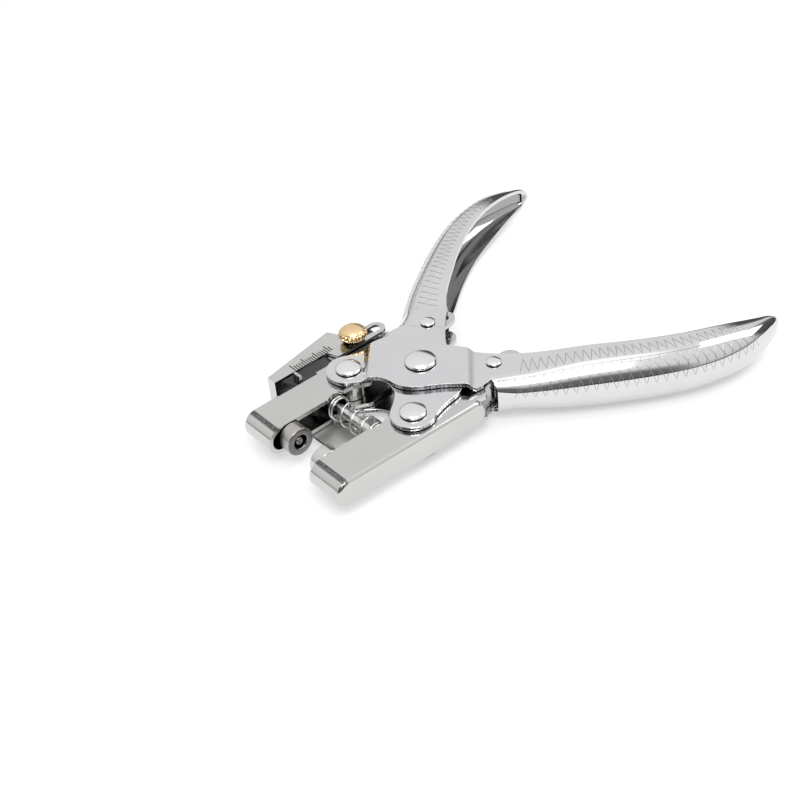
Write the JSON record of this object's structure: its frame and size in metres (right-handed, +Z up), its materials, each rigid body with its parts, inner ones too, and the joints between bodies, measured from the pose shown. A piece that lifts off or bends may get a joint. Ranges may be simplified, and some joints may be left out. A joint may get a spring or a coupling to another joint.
{
  "type": "eyelet pliers",
  "caption": "Parallel-jaw hand pliers with a punch and die that set eyelets, crossed sprung handles and a sliding depth gauge.",
  "frame": {"origin": "under the main pivot, on the flat lower head of its rivet", "axes": "+X from the nose towards the grips, +Y the way the punch jaw opens, +Z up along the pivots with the tool lying flat"},
  "size_m": [0.1692, 0.138, 0.0225],
  "materials": {
    "nickel_plate": "bright nickel",
    "chrome_plate": "mirror",
    "bright_steel": "bright",
    "dark_steel": "satin",
    "spring_steel": "bright",
    "brass": "polished"
  },
  "bodies": {
    "die_jaw": {"die_jaw": "nickel_plate", "setting_die": "nickel_plate", "die_jaw_rivet": "bright_steel", "die_jaw_spacer": "dark_steel", "return_spring": "spring_steel"},
    "punch_side_handle": {"punch_side_handle": "chrome_plate", "main_rivet": "bright_steel", "main_spacer": "dark_steel", "punch_slide_pin": "bright_steel"},
    "die_side_handle": {"die_side_handle": "chrome_plate", "die_slide_pin": "bright_steel"},
    "punch_jaw": {"punch_jaw": "nickel_plate", "punch_holder": "dark_steel", "punch_pin": "dark_steel", "punch_jaw_rivet": "bright_steel", "punch_jaw_spacer": "dark_steel", "guide_post": "bright_steel", "gauge_bracket": "nickel_plate", "gauge_pointer": "dark_steel", "clamp_nut": "brass"},
    "depth_gauge": {"depth_gauge": "nickel_plate"},
    "thumb_screw": {"thumb_screw": "brass"}
  },
  "joints": [
    {"name": "punch_handle_turn", "type": "hinge", "parent": "die_jaw", "child": "punch_side_handle", "pos_m": [-0.0182, -0.0168, 0.01025], "axis": [0, 0, -1], "range_deg": [0, 15], "stiffness_Nm_per_rad": 1.2, "springref_deg": -11.46, "deforming": ["return_spring"]},
    {"name": "die_handle_turn", "type": "hinge", "parent": "punch_side_handle", "child": "die_side_handle", "pos_m": [0, 0, 0.01025], "axis": [0, 0, 1], "range_deg": [0, 30]},
    {"name": "punch_jaw_turn", "type": "hinge", "parent": "die_side_handle", "child": "punch_jaw", "pos_m": [-0.0182, 0.0168, 0.01025], "axis": [0, 0, -1], "range_deg": [0, 15]},
    {"name": "gauge_slide", "type": "slide", "parent": "punch_jaw", "child": "depth_gauge", "axis": [-1, 0, 0], "range_m": [0, 0.0088]},
    {"name": "thumb_screw_turn", "type": "hinge", "parent": "punch_jaw", "child": "thumb_screw", "pos_m": [-0.0062, 0.0287, 0.01025], "axis": [0, 0, 1], "range_deg": [0, 360]}
  ],
  "couplings": [
    {"joint": "die_handle_turn", "follows": "punch_handle_turn", "ratio": 2},
    {"joint": "punch_jaw_turn", "follows": "punch_handle_turn", "ratio": 1}
  ]
}
